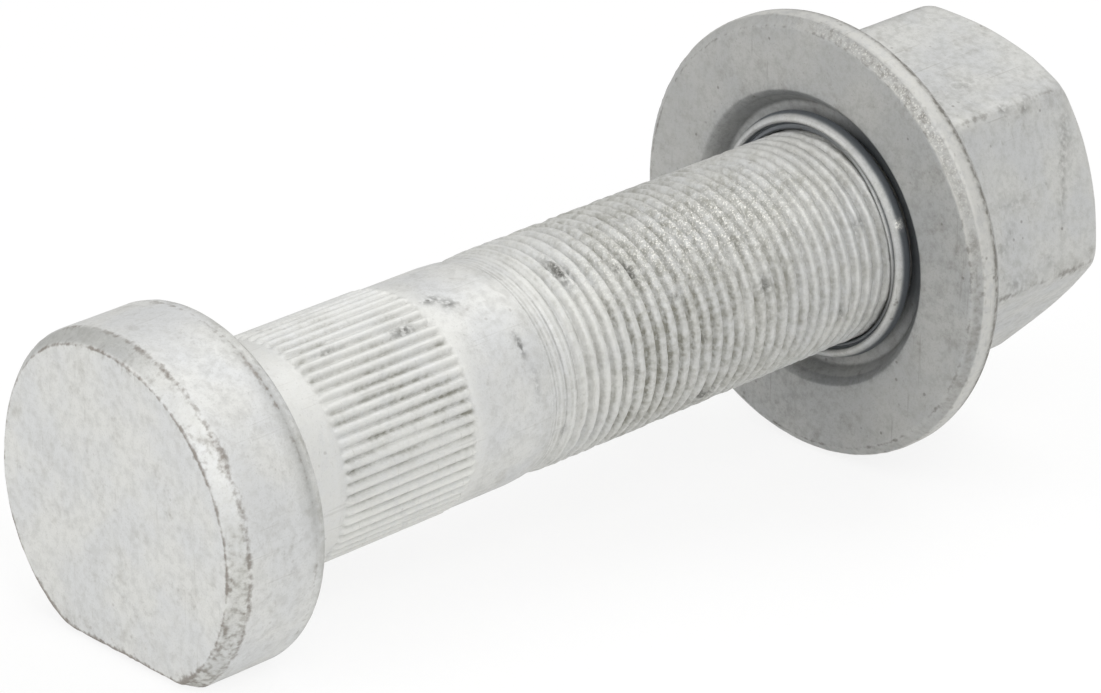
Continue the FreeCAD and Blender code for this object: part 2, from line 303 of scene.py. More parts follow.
# Bolt, in mm: head with one flat, plain neck, serrated press seat, plain shank, waist and a rolled thread
bolt = {
    "headRadius": 17.25, "faceRadius": 16.15, "bevelLength": 1.8, "headHeight": 11.0,
    "flatBack": 13.9, "flatFront": 13.25, "flatBlend": 0.7,
    "neckRadius": 10.95, "ridgeRadius": 11.15, "ridgeDepth": 0.55, "ridges": 60,
    "neckEnd": 17.7, "seatEnds": (19.2, 34.2), "seatNose": 0.9,  # a ridge's ends are rounded over seatNose
    "seatFloor": 10.73, "seatFloorWay": [18.4, 19.0, 34.3, 35.0],
    "shankRadius": 11.0,
    "waist": [(42.4, 11.0), (43.3, 10.95), (44.0, 10.90), (44.7, 10.80), (45.4, 10.65), (46.3, 10.73),
              (47.1, 10.89), (48.0, 10.96), (49.5, 11.0)],  # along, radius
    "threadDepth": 0.68, "threadFrom": 43.4, "threadFull": 50.5, "rowsPerTurn": 10,
    "tip": 110.0, "tipChamfer": 1.3,
    # grease marks: along in mm, turn in degrees, reach along and round in mm, lean, darkness
    "smudges": [(36.7, 104, 0.9, 0.5, 0, 0.9), (37.9, 110, 0.8, 0.5, 0, 0.8), (42.1, 144, 0.35, 1.3, 0, 0.8),
                (42.6, 163, 0.4, 1.6, 0, 0.35), (50.2, 112, 0.2, 0.9, 0, 0.9), (51.2, 115, 0.36, 1.8, 0, 1.0),
                (52.2, 118, 0.22, 1.0, 0, 1.0), (57.2, 125, 0.2, 0.6, 0, 0.6), (58.4, 129, 0.3, 1.1, 0, 1.0),
                (73.3, 162, 0.8, 0.8, 0, 0.7), (67.0, 218, 1.4, 0.9, 0, 0.8), (56.8, 216, 0.4, 0.8, 0, 0.8),
                (46.4, 197, 0.3, 0.4, 0, 0.9), (68.8, 210, 0.4, 0.6, 0, 0.7), (6.0, 134, 0.55, 0.55, 0, 0.55),
                (4.7, 143, 0.3, 0.4, 0, 0.5), (6.3, 184, 0.5, 0.45, 0, 0.4), (6.1, 194, 0.3, 0.45, 0, 0.5),
                (22.3, 111, 0.8, 0.35, 0, 0.8), (31.6, 115, 0.8, 0.45, 0, 0.8), (62.0, 150, 0.3, 0.4, 0, 0.6),
                (64.5, 176, 0.3, 0.35, 0, 0.8), (87.5, 150, 0.5, 0.5, 0, 0.6), (84.0, 196, 0.6, 0.7, 0, 0.6)],
    "finish": {"light": "#D5D5D2", "cool": "#D0D1D1", "shade": "#B7B7B4", "smear": "#A3A19B",
               "paleWearAndLight": "#E3E3DF", "dustAndShadeTone": "#939289", "chip": "#6C6156", "dirt": "#4B4A45",
               "bareAndShade": "#7F807C", "glint": "#F4F2EC",
               "mottled": 0.42, "grained": 0.46, "smeared": 0.42, "dusty": 0.85, "scraped": 0.2,
               "chipped": 0.72, "specks": 0.25, "rough": 0.58, "metal": 0.35, "bump": 0.45, "crumbs": 2.2},
}


def smudgeMarks(smudges, spots):
    # Each smudge is exp(-(distance / reach)^2) in the surface's two directions, along and round the bolt; a
    # lean moves it along by that much for each mm round
    turn = np.degrees(np.arctan2(spots[..., 2], spots[..., 1])) % 360
    radius = np.hypot(spots[..., 1], spots[..., 2])
    stain = np.zeros(spots.shape[:-1])
    for along, angle, reachAlong, reachRound, lean, dark in smudges:
        beside = np.radians((turn - angle + 180) % 360 - 180) * radius
        ahead = spots[..., 0] - along - lean * beside
        stain = np.maximum(stain, dark * np.exp(-(ahead / reachAlong) ** 2 - (beside / reachRound) ** 2))
    return stain


def boltSurface(b):
    # Angles: 8 to a serration, crowded towards its groove (across = -1 and 1 in the grooves, 0 on the ridge)
    across = np.array([0, 0.36, 0.66, 0.87, 1.0, 1.13, 1.34, 1.64])
    halfRidge = math.pi / b["ridges"]
    angles = ((2 * np.arange(b["ridges"])[:, None] + across) * halfRidge).ravel()
    side = np.tile(np.where(across > 1, 2 - across, across), b["ridges"])
    ridge = np.repeat(np.arange(b["ridges"]), len(across))

    # Head: the lesser of the round and the flat's distance d / cos, blended where they cross; the forging is
    # a little slack on one side, left of the flat
    facing = np.maximum(-np.sin(angles), 1e-3)
    turn = np.degrees(np.arctan2(np.sin(angles), np.cos(angles)))
    slack = softStep(66, 4, turn) * softStep(-110, -70, turn)
    blend = b["flatBlend"] - 0.45 * softStep(-100, -130, turn)  # crisper at the flat's other end
    outer = softLeast(b["headRadius"] - 0.75 * slack, b["flatBack"] / facing, blend)
    inner = softLeast(b["faceRadius"] - 1.4 * slack, b["flatFront"] / facing, blend)
    back = 0.3 + 0.9 * np.clip((outer - 16.05) / 1.2, 0, 1)
    same = np.ones_like(angles)
    corners = np.stack([np.stack([same * a, same * r], -1) for a, r in (
        (0, 0.9), (0, inner), (b["bevelLength"], outer), (b["headHeight"], outer),
        (b["headHeight"], b["neckRadius"]), (b["neckEnd"], b["neckRadius"]))])
    line = roundedLine(corners, [0, 0.28, 0.4, back, 1.0, 0], [9, 4, 8, 4, 5], [0, 4, 4, 6, 5, 0])
    # distance from the face's edge, the bevel's outer edge and where the back edge begins to turn
    turning = corners[3] - np.stack([0.3 + 1.1 * back, 0 * back], -1)
    gap = [np.linalg.norm(line - spot, axis=-1) for spot in (corners[1], corners[2], turning)]
    onFlat = softStep(-0.55, -0.78, np.sin(angles))
    turn = turn % 360
    rubbedSide = np.exp(-((turn - 143) / 28) ** 2)
    topSide = softStep(10, 40, turn) * softStep(116, 92, turn)  # burnished smooth and grey
    paleSide = softStep(88, 106, turn) * softStep(172, 150, turn)
    chippedSide = np.exp(-((turn - 158) / 25) ** 2)
    faceLine = (1 + 0.35 * onFlat + 0.28 * chippedSide) * np.exp(-(gap[0] / (0.3 + 0.2 * onFlat)) ** 2)
    bevelLine = (1 - 0.3 * topSide) * np.exp(-(gap[1] / (0.45 + 0.2 * rubbedSide)) ** 2)
    # the back edge's dark line: chips, and painted shade where the edge turns away
    backLineChipsAndShade = 0.9 * np.exp(-(gap[2] / 0.35) ** 2)
    edge = np.maximum(np.maximum(faceLine, bevelLine), backLineChipsAndShade)
    # the bevel is rubbed bright on the side away from the flat's slack end, dusty and pitted over the rest
    onBevel = softStep(-0.05, 0.35, line[..., 0]) * softStep(2.1, 1.5, line[..., 0])
    fromMiddle = np.abs(2 * line[..., 0] / b["bevelLength"] - 1)  # crumbs lie along the bevel's two edges
    lowSide = softStep(165, 195, turn) * softStep(300, 250, turn)  # paler there, with more dark crumbs
    crumbs = (0.42 - 0.1 * paleSide + 0.2 * lowSide - 0.3 * topSide) * (0.72 + 0.4 * fromMiddle)
    edge = np.maximum(edge, 0.16 + onBevel * crumbs)
    headWearAndLight = onBevel * (0.1 + 0.15 * rubbedSide) + 0.2 * np.exp(-(gap[1] / 1.2) ** 2) * rubbedSide
    # painted light: the neck is drawn paler, lifting it out of the shade under the head
    headWearAndLight = headWearAndLight + 0.55 * softStep(11.3, 12.5, line[..., 0])
    # painted shade: a grey band laid on as dust where the back edge turns away from the light
    backTurnShade = softStep(b["headHeight"] - 0.3 - back, b["headHeight"] - 0.5 * back, line[..., 0])
    backTurnShade = backTurnShade * softStep(12.5, 15, line[..., 1])
    clean = np.maximum(rubbedSide, 0.75 * paleSide)
    headDustAndShade = 0.7 * onBevel * (1 - clean) * (1 - 0.5 * lowSide) * (1 - 0.7 * topSide) + 0.5 * backTurnShade
    # painted shade: a darker band along the back edge, in the bare steel tone; on top the bevel is burnished
    backShadeBand = np.exp(-(gap[2] / 0.55) ** 4) * softStep(92, 122, turn) * softStep(197, 160, turn)
    headBareAndShade = np.maximum(0.36 * onBevel * topSide, 0.46 * backShadeBand)
    # forged and handled: hollows in the face (along the axis) and elsewhere (towards it), deepest at edges
    spots = roundAxis(line, angles)
    hollow = 0.035 * np.abs(softNoise(spots, 3.1, 5)) + 0.09 * edge * np.abs(softNoise(spots, 0.9, 6))
    onFace = softStep(0.06, 0.0, line[..., 0])
    spots = roundAxis(line + hollow[..., None] * np.stack([onFace, onFace - 1], -1), angles)

    # Serrations: ridge = top - depth * (side^2 + nose^2)^1.15, where nose grows from 0 over both ends,
    # standing in a floor that falls below the neck and rises to the shank; no two ridges end alike
    along = np.array([18.0, 18.3, 18.5, 18.7, 18.9, 19.1, 19.4, 19.8, 21, 23, 26, 29, 31.5, 33, 33.7, 34.0,
                      34.2, 34.4, 34.6, 34.8, 35.0, 35.3, 36.0, 36.7])[:, None]
    jitter = np.random.default_rng(3).normal(0, 0.12, (2, b["ridges"]))
    first, last = b["seatEnds"]
    nose = np.maximum((first + jitter[0][ridge] - along) / b["seatNose"],
                      (along - last - jitter[1][ridge]) / b["seatNose"])
    nose = np.maximum(nose, 0)
    ridgeRadius = b["ridgeRadius"] - b["ridgeDepth"] * (side ** 2 + nose ** 2) ** 1.15
    base = np.interp(along, b["seatFloorWay"],
                     [b["neckRadius"], b["seatFloor"], b["seatFloor"], b["shankRadius"]])
    radius = np.maximum(ridgeRadius, base)
    waver = softNoise(roundAxis(np.stack([along + 0 * radius, radius], -1), angles), 2.2, 7) - 0.2
    radius += 0.10 * side ** 3 * waver * softStep(19, 20, along) * softStep(34, 33, along)
    radius = np.minimum(radius, b["ridgeRadius"])
    inSeat = softStep(18.5, 19.2, along) * softStep(35.0, 34.4, along)
    seatSpots = roundAxis(np.stack([along + 0 * radius, radius], -1), angles)
    dirt = np.clip(0.7 + 0.9 * softNoise(seatSpots, 1.3, 8), 0.1, 1.3)
    # painted shade: more groove darkening in front, where the ridges' lower flanks are shaded; less low down
    frontShadeByTurn = 0.75 + 0.4 * np.exp(-((turn - 152) / 20) ** 2) - 0.45 * softStep(172, 200, turn)
    seatDustAndShade = dirt * inSeat * frontShadeByTurn * (0.14 + 0.72 * softStep(0.45, 0.92, side))
    # painted highlight on the ridges' rounded ends towards the thread; the ridge tops are paler with wear
    ridgeNoseHighlight = np.exp(-((along - 34.4) / 0.4) ** 2 - (side / 0.5) ** 2)
    seatWearAndLight = 0.45 + 0.3 * inSeat * softStep(0.5, 0.0, side) + 0.4 * ridgeNoseHighlight
    # painted light: the seat's lower side is drawn paler against its shading
    seatWearAndLight = (seatWearAndLight + 0.35 * inSeat * softStep(172, 200, turn)) * softStep(36.7, 35.0, along)
    spots = np.concatenate([spots, seatSpots])
    zero = np.zeros_like(radius)
    groove = np.concatenate([headDustAndShade, seatDustAndShade])
    wearAndLight = np.concatenate([headWearAndLight, seatWearAndLight])
    edge = np.concatenate([edge, zero])
    bareAndShade = np.concatenate([headBareAndShade, zero])

    # Thread: the sheet follows the waist, the full diameter, the tip's chamfer and the tip's face, and the
    # thread is cut into it
    coarse = angles[::4]
    ringLine = np.stack([np.full_like(coarse, 36.95), np.full_like(coarse, b["shankRadius"])], -1)
    way = [37.2] + [a for a, r in b["waist"]] + [b["tip"] - b["tipChamfer"]]
    wayRadius = [b["shankRadius"]] + [r for a, r in b["waist"]] + [b["shankRadius"]]
    wayAlong = list(way)
    tipRadius = b["shankRadius"] - b["tipChamfer"]
    faceEnd = tipRadius - 1.1 * threadPitch  # the sheet's last turn lies on the tip's face
    tipWay = [(1.4142 * b["tipChamfer"], b["tip"], tipRadius), (tipRadius - faceEnd, b["tip"], faceEnd)]
    for step, a, r in tipWay:
        way, wayAlong, wayRadius = way + [way[-1] + step], wayAlong + [a], wayRadius + [r]
    rows = helixRows(way[0], way[-1], b["rowsPerTurn"], coarse)
    sheetAlong, sheetRadius = np.interp(rows, way, wayAlong), np.interp(rows, way, wayRadius)
    cut = threadCut(sheetAlong, coarse)
    depth = b["threadDepth"] * softStep(b["threadFrom"], b["threadFull"], sheetAlong) ** 0.8
    # three fine lines to a pitch where the rolling began
    lines = threadCut(3 * sheetAlong, 3 * coarse, 0.2, 1.0)
    lines = softStep(44.2, 44.7, sheetAlong) * softStep(57, 48, sheetAlong) * lines
    plain = roundAxis(np.stack([sheetAlong, sheetRadius], -1), coarse)
    worn = 0.2 * np.maximum(softNoise(plain, 1.4, 10) - 0.25, 0) * (1 - cut)
    worn = (0.11 * np.abs(softNoise(plain, 0.6, 9)) + worn) * softStep(43, 50, sheetAlong)
    sheetRadius = np.minimum(sheetRadius, b["shankRadius"] - depth * cut - 0.08 * lines - worn)
    sheet = roundAxis(np.stack([sheetAlong, sheetRadius], -1), coarse)
    sheetDustAndShade = (0.55 - 0.31 * softStep(72, 86, sheetAlong)) * softStep(48, 58, sheetAlong)
    sheetTurn = np.degrees(coarse)
    upper = softStep(20, 60, sheetTurn) * softStep(150, 112, sheetTurn)  # less root darkening on top, and a little more over the crests
    frontFlankShade = softStep(130, 158, sheetTurn) * softStep(220, 195, sheetTurn) * softStep(72, 62, sheetAlong)
    # dirt in the roots, widened in front as painted shade of the thread's shaded flanks; where the painted
    # glare highlight falls, crests get dust and roots less, so both are sandy and the lines fade
    dirtAndShadeInRoots = cut + frontFlankShade * (softStep(0.0, 0.55, cut) - cut)
    # the spot where the painted glare highlight falls on the thread
    glareSpot = np.exp(-((sheetAlong - 70) / 17) ** 2 - ((sheetTurn - 122) / 25) ** 2)
    sheetDustAndShade = sheetDustAndShade + 0.08 * upper + 0.3 * glareSpot * (1 - cut)
    starting = softStep(52, 55, sheetAlong) * softStep(66, 59, sheetAlong) * softStep(118, 140, sheetTurn)
    rootDirtAndShade = (0.42 - 0.21 * upper + 0.08 * frontFlankShade + 0.3 * starting) * (1 - 0.6 * glareSpot)
    rootDirtAndShade = rootDirtAndShade * (0.6 + 0.4 * softStep(50, 55, sheetAlong))
    sheetDustAndShade = sheetDustAndShade + rootDirtAndShade * dirtAndShadeInRoots * depth / b["threadDepth"]
    sheetDustAndShade = np.maximum(sheetDustAndShade * softStep(44, 48, sheetAlong), 0.55 * lines)
    sheetDustAndShade = np.maximum(sheetDustAndShade, 0.2 * np.exp(-((sheetAlong - 43.9) / 0.8) ** 2))
    sheetWear = (0.2 + 0.35 * softStep(66, 54, sheetAlong)) * (1 - cut) * depth / b["threadDepth"]
    # painted highlight: glints over the glare spot, fewer in the roots
    sheetPaintedGlint = 0.95 * (1 - 0.45 * cut) * glareSpot
    endLine = np.stack([np.full_like(coarse, b["tip"]), np.full_like(coarse, faceEnd - 0.4)], -1)
    end = roundAxis(endLine, coarse)

    # All points in one list: pole of the head, head and seat rows, thread ring and sheet, tip ring, tip pole
    fine, few = len(angles), len(coarse)
    allSpots = np.concatenate([[[0, 0, 0]], spots.reshape(-1, 3), roundAxis(ringLine, coarse),
                               sheet.reshape(-1, 3), end, [[b["tip"], 0, 0]]])
    flatIds = 1 + np.arange(spots.shape[0] * fine).reshape(-1, fine)
    ring = flatIds.max() + 1 + np.arange(few)
    sheetIds = ring.max() + 1 + np.arange(rows.size).reshape(rows.shape)
    endRing = sheetIds.max() + 1 + np.arange(few)
    tipPole = endRing.max() + 1
    closing = np.append(flatIds[-1], flatIds[-1][0])
    stitch = np.stack([closing[k:-1:4] for k in range(4)] + [closing[4::4], np.roll(ring, -1), ring], -1)
    pole = np.stack([np.zeros(fine, int), np.roll(flatIds[0], -1), flatIds[0]], -1)
    faces = [pole, bandFaces(flatIds), stitch]
    faces += helixFaces(sheetIds, b["rowsPerTurn"], ring, endRing)
    faces.append(np.stack([endRing, np.roll(endRing, -1), np.full(few, tipPole)], -1))

    def whole(head, thread):
        # One value for each spot, in the same order
        return np.concatenate([[0], head.ravel(), np.zeros(few), thread.ravel(), np.zeros(few + 1)])
    marks = {"groove": whole(groove, sheetDustAndShade), "wearAndLight": whole(wearAndLight, sheetWear),
             "edge": whole(edge, 0 * rows), "glint": whole(0 * edge, sheetPaintedGlint),
             "bareAndShade": whole(bareAndShade, 0 * rows), "stain": smudgeMarks(b["smudges"], allSpots)}
    return allSpots, faces, marks


spots, faces, marks = boltSurface(bolt)
addPiece("wheel_bolt_dressed", spots, faces, marks, "wheel_bolt", "bolt",
         zincFlake("zinc-flake coated steel, bolt", bolt["finish"]))


# Washer: a turned ring, its rim bevelled in front, with a recess for the nut's lip
washer = {
    "columns": 360,
    "profile": [(0.55, 14.75, 0.35), (0.0, 15.35, 0.22), (0.0, 22.0, 0.3), (0.9, 23.0, 0.3),
                (2.75, 23.0, 0.5), (3.5, 22.5, 0.25), (3.5, 12.15, 0.15), (2.2, 12.15, 0.15),
                (2.2, 13.8, 0.3)],  # along from the seat face, radius, rounding
    "runs": [2, 9, 4, 4, 2, 5, 3, 3, 4],
    "finish": {"light": "#B0B0AE", "cool": "#A9AAAA", "shade": "#8F908D", "smear": "#83817C",
               "paleWearAndLight": "#D2D1CC", "dustAndShadeTone": "#77756F", "chip": "#565049", "dirt": "#4B4A45",
               "bareAndShade": "#3A4046", "glint": "#F4F2EC",
               "mottled": 0.6, "grained": 0.5, "smeared": 0.6, "dusty": 0.7, "scraped": 0.3, "chipped": 0.6,
               "specks": 0.5, "rough": 0.58, "metal": 0.35, "bump": 0.5, "crumbs": 0.5},
}


def washerSurface(w):
    # One closed profile (seat face, bevel, rim, back, bore, recess) turned about the bolt's axis
    angles = 2 * math.pi * np.arange(w["columns"]) / w["columns"]
    corners = np.array([(seatPlace + a, r) for a, r, cut in w["profile"]])[:, None, :]
    corners = corners * np.ones((1, len(angles), 1))
    cuts = [cut for a, r, cut in w["profile"]]
    line = roundedLine(corners, cuts, w["runs"], [4] * len(corners), closed=True)
    gap = [np.linalg.norm(line - corners[k], axis=-1) for k in (2, 3, 4)]
    edge = np.maximum(0.8 * np.exp(-(gap[0] / 0.25) ** 2), 0.5 * np.exp(-(gap[1] / 0.35) ** 2))
    # paler along the edge between face and bevel on its lit side, a painted highlight, and less over the
    # rest of the bevel and the rim
    turn = np.degrees(angles) % 360
    lit = np.exp(-((turn - 140) / 35) ** 2)
    onRim = softStep(22.8, 22.95, line[..., 1])
    wearAndLight = 0.2 * np.exp(-((turn - 85) / 40) ** 2) + 0.9 * lit * np.exp(-(gap[0] / 0.45) ** 2)
    wearAndLight = softStep(21.85, 22.05, line[..., 1]) * np.maximum(wearAndLight, 0.7 * onRim)
    # painted light: the face is drawn paler on its left, at the top and low on the right
    litLeftSide = np.exp(-(((turn + 160) % 360 - 180) / 60) ** 2)
    faceLightGradient = 0.16 * np.exp(-((turn - 105) / 35) ** 2) + 0.22 * np.exp(-((turn - 225) / 32) ** 2)
    faceLightGradient = faceLightGradient + 0.24 * litLeftSide
    wearAndLight = np.maximum(wearAndLight, faceLightGradient * softStep(15.3, 16.5, line[..., 1]))
    # painted shade: the bevel darker low down, and a dark line along the rim's back edge by the nut
    onBevel = softStep(22.0, 22.3, line[..., 1]) * (1 - onRim) * np.exp(-((turn - 182) / 40) ** 2)
    groove = np.maximum(1.7 * np.exp(-(gap[2] / 0.4) ** 2), 0.8 * onBevel)
    # the bevel sparkles on its lit side, between crumbs: the sparkles are painted highlights, as glints and
    # pale patches
    sparkleAndCrumbs = softStep(21.95, 22.15, line[..., 1]) * (1 - onRim) * np.exp(-((turn - 122) / 42) ** 2)
    edge = np.maximum(edge, 0.5 * sparkleAndCrumbs)
    wearAndLight = np.maximum(wearAndLight, 0.5 * sparkleAndCrumbs)
    groove = np.maximum(groove, 0.8 * sparkleAndCrumbs)
    spots = roundAxis(line, angles)
    inwards = roundAxis(np.stack([0 * wearAndLight, 0 * wearAndLight - 1], -1), angles)
    hollow = 0.16 * edge * np.abs(softNoise(spots, 0.9, 11)) + 0.03 * wearAndLight * np.abs(softNoise(spots, 2.4, 12))
    spots = spots + inwards * hollow[..., None]
    ids = np.arange(edge.size).reshape(edge.shape)
    faces = [bandFaces(np.concatenate([ids, ids[:1]]))]
    # painted shadow: the recess is drawn dark with the bare steel tone on the side the lip shades, and its
    # mouth darker at the top and bottom
    recessShade = softStep(15.45, 15.25, line[..., 1]) * softStep(seatPlace + 3.3, seatPlace + 3.0, line[..., 0])
    recessShade = recessShade * (0.02 + 0.8 * softStep(88, 120, turn) * softStep(225, 185, turn))
    mouth = softStep(15.5, 15.3, line[..., 1]) * softStep(14.5, 14.7, line[..., 1])
    mouth = mouth * softStep(91, 90.8, line[..., 0])
    topAndBottomShade = np.maximum(np.exp(-((turn - 80) / 40) ** 2), np.exp(-((turn - 250) / 40) ** 2))
    recessShade = np.maximum(recessShade, 0.4 * mouth * topAndBottomShade)
    marks = {"bareAndShade": recessShade, "wearAndLight": wearAndLight, "edge": edge, "groove": groove, "glint": 0.35 * sparkleAndCrumbs}
    return spots.reshape(-1, 3), faces, {key: value.ravel() for key, value in marks.items()}


spots, faces, marks = washerSurface(washer)
addPiece("thrust_washer_dressed", spots, faces, marks, "thrust_washer", "washer",
         zincFlake("zinc-flake coated steel, washer", washer["finish"]))


# Nut: hexagon with rounded corners and a collar through the washer, its end flared into a lip in the recess
nut = {
    "flat": 16.0, "cornerRound": 2.0, "turned": 12.3, "base": 93.75, "end": 116.05, "land": 15.1,
    "bore": 11.06, "crest": 10.4, "leadIn": (93.0, 93.8), "mouth": 11.95, "boreEnd": 13.9, "endRing": 14.2,
    "lip": [(91.3, 11.06, 0.0), (90.35, 11.16, 0.08), (90.14, 11.26, 0.06), (90.14, 11.42, 0.06),
            (90.5, 11.56, 0.08), (90.32, 11.74, 0.08), (90.16, 11.95, 0.14), (90.28, 12.25, 0.18),
            (90.75, 12.56, 0.3), (91.5, 12.8, 0.25), (92.15, 12.0, 0.25),
            (93.75, 12.0, 0.25)],  # along, radius, rounding; in front of the washer's shoulder
    "rowsPerTurn": 10,
    # stains, the long scratch, bright scuffs and the burr on the lip, which also carries a painted highlight:
    # along in mm, turn in degrees, reach along and round in mm, lean, strength
    "smudges": [(105.0, 132.6, 0.55, 0.5, 0, 0.7), (107.7, 134.6, 0.5, 0.4, 0, 0.55),
                (108.8, 130.8, 0.5, 0.4, 0, 0.4), (111.6, 157, 0.36, 5.4, -0.3, 0.5),
                (113.0, 149, 0.4, 3.0, -0.3, 0.3), (103.5, 163.4, 1.7, 0.3, 0, 0.35),
                (100.8, 177, 0.6, 0.6, 0, 0.4), (102.2, 174, 0.35, 1.4, -0.9, 0.4),
                (104.5, 117, 2.4, 1.0, 0, 0.25), (101.6, 189, 1.1, 0.6, 0, 0.4),
                (107.0, 186, 0.5, 0.5, 0, 0.4), (99.6, 120, 0.8, 0.5, 0, 0.3),
                (106.2, 262, 0.9, 0.6, 0, 0.4), (101.0, 300, 0.6, 1.3, 0.4, 0.4),
                (109.0, 20, 1.2, 0.5, 0, 0.4)],
    "scuffs": [(98.9, 132, 1.0, 0.7, 0, 0.9), (104.0, 312, 1.4, 0.6, 0, 0.7), (110.2, 72, 0.9, 0.6, 0, 0.7)],
    "burrs": [(90.9, 157, 0.5, 0.42, 0, 1.0)],
    "finish": {"light": "#C6C6C3", "cool": "#C0C1C1", "shade": "#A6A7A3", "smear": "#94928C",
               "paleWearAndLight": "#D8D8D3", "dustAndShadeTone": "#8A8780", "chip": "#5E5850", "dirt": "#55534D",
               "bareAndShade": "#4C535B", "glint": "#F4F2EC",
               "mottled": 0.45, "grained": 0.4, "smeared": 0.5, "dusty": 0.6, "scraped": 0.35, "chipped": 0.5,
               "specks": 0.5, "rough": 0.58, "metal": 0.35, "bump": 0.45, "crumbs": 0.5},
}


def nutSurface(n):
    # Angles: 30 over each flat and 10 over each rounded corner
    tangent = math.degrees(math.atan((n["flat"] - n["cornerRound"]) * math.tan(math.pi / 6) / n["flat"]))
    turnOff = np.concatenate([np.linspace(-tangent, tangent, 30),
                              np.linspace(tangent, 60 - tangent, 12)[1:-1]])
    fromFlat = np.tile(turnOff, 6)
    angles = np.radians(n["turned"] + 30 + 60 * np.repeat(np.arange(6), len(turnOff)) + fromFlat)
    # Hexagon: flat / cos over the flats; over a corner, the far side of a circle on the corner's line
    fromCorner = np.radians(np.abs(np.abs((fromFlat + 30) % 60 - 30) - 30))
    centre = (n["flat"] - n["cornerRound"]) / math.cos(math.pi / 6)
    arc = np.sqrt(np.maximum(n["cornerRound"] ** 2 - (centre * np.sin(fromCorner)) ** 2, 0))
    arc = centre * np.cos(fromCorner) + arc
    onFlat = n["flat"] / np.cos(math.pi / 6 - fromCorner)
    hexagon = np.where(fromCorner < math.radians(30 - tangent) - 1e-9, arc, onFlat)

    same = np.ones_like(angles)
    slope = math.tan(math.pi / 6)
    lip = [(a, r, cut, 1, 3) for a, r, cut in n["lip"]]
    lip[-1] = lip[-1][:3] + (4, 4)
    endRound = 0.5 + 1.5 * np.exp(-(fromCorner / 0.2) ** 2)  # more at the hexagon's corners
    shape = lip + [  # along, radius, rounding, points on the straight run after it and round its bend
        (n["base"], np.minimum(hexagon - 0.2, 17.0), 0.2, 1, 3),
        (n["base"] + 0.15 + slope * np.maximum(hexagon - 17.1, 0), hexagon, 0.3, 54, 4),
        (n["end"] - slope * (hexagon - n["land"]), hexagon, endRound, 4, 7),
        (n["end"], n["land"], 0.5, 2, 4),
        (n["end"], n["endRing"], 0.0, 0, 0),
    ]
    corners = np.stack([np.stack([same * a, same * r], -1) for a, r, cut, run, bend in shape])
    line = roundedLine(corners, *([row[k] for row in shape] for k in (2, 3, 4)))
    gap = np.linalg.norm(line - corners[-3], axis=-1)
    onHex = softStep(93.9, 94.4, line[..., 0]) + 0 * angles
    cornerLine = np.exp(-(np.degrees(fromCorner) / 1.5) ** 2) * onHex
    turn = np.degrees(angles) % 360
    edge = np.maximum(0.5 * np.exp(-(gap / 0.5) ** 2), (0.68 + 0.27 * softStep(150, 180, turn)) * cornerLine)
    # dark rolled steel on the lip's outer side, its bluish dark also a painted reflection, and painted shade
    # inside it; a burr stands on the outer side, with a painted highlight
    burrAndHighlight = smudgeMarks(n["burrs"], roundAxis(line, angles)) * softStep(12.3, 12.5, line[..., 1])
    onLip = softStep(92.2, 91.8, line[..., 0])
    bareAndShade = 0.85 * softStep(93.5, 93.0, line[..., 0]) * softStep(12.4, 12.62, line[..., 1]) * (1 - burrAndHighlight)
    insideShade = np.maximum(softStep(11.26, 11.18, line[..., 1]), np.exp(-((line[..., 1] - 11.57) / 0.08) ** 2))
    shaded = 1 - np.exp(-((turn - 155) / 42) ** 2)  # painted shade on the inner edge, except in front
    insideShade = np.maximum(insideShade, shaded * softStep(11.74, 11.66, line[..., 1]))
    bareAndShade = np.maximum(bareAndShade, 0.8 * onLip * insideShade)
    # painted shade, laid on as dust, on the collar inside the washer and the hexagon's foot; dust on the
    # corners
    groove = softStep(92.0, 92.4, line[..., 0]) * softStep(94.1, 93.7, line[..., 0])
    groove = groove + 0.3 * np.exp(-(np.degrees(fromCorner) / 4) ** 2) * onHex
    onTop = softStep(70, 78, turn) * softStep(134, 126, turn)
    groove = groove + 0.15 * onTop * onHex  # darker on the flat that lies up
    # rolled unevenly: wider on top, and its inner edge lies back except in front
    wider = 0.25 * onLip * softStep(11.2, 11.5, line[..., 1]) * np.exp(-((turn - 82) / 42) ** 2)
    lyingBack = 0.65 * shaded * onLip * softStep(11.74, 11.6, line[..., 1])
    lyingBack = lyingBack * np.maximum(91.2 - line[..., 0], 0)
    spots = roundAxis(line + np.stack([lyingBack - 0.25 * burrAndHighlight, wider], -1), angles)
    wearAndLight = np.maximum(0.2 * np.exp(-(gap / 0.9) ** 2), smudgeMarks(n["scuffs"], spots) * onHex)
    wearAndLight = np.maximum(wearAndLight, 1.6 * burrAndHighlight)
    stain = smudgeMarks(n["smudges"], spots) * onHex
    inwards = roundAxis(np.stack([0 * wearAndLight, 0 * wearAndLight - 1], -1), angles)
    hollow = 0.06 * np.abs(softNoise(spots, 5.0, 21)) + 0.05 * np.abs(softNoise(spots, 1.4, 22)) * edge
    hollow = onHex * hollow
    spots = spots + inwards * hollow[..., None]

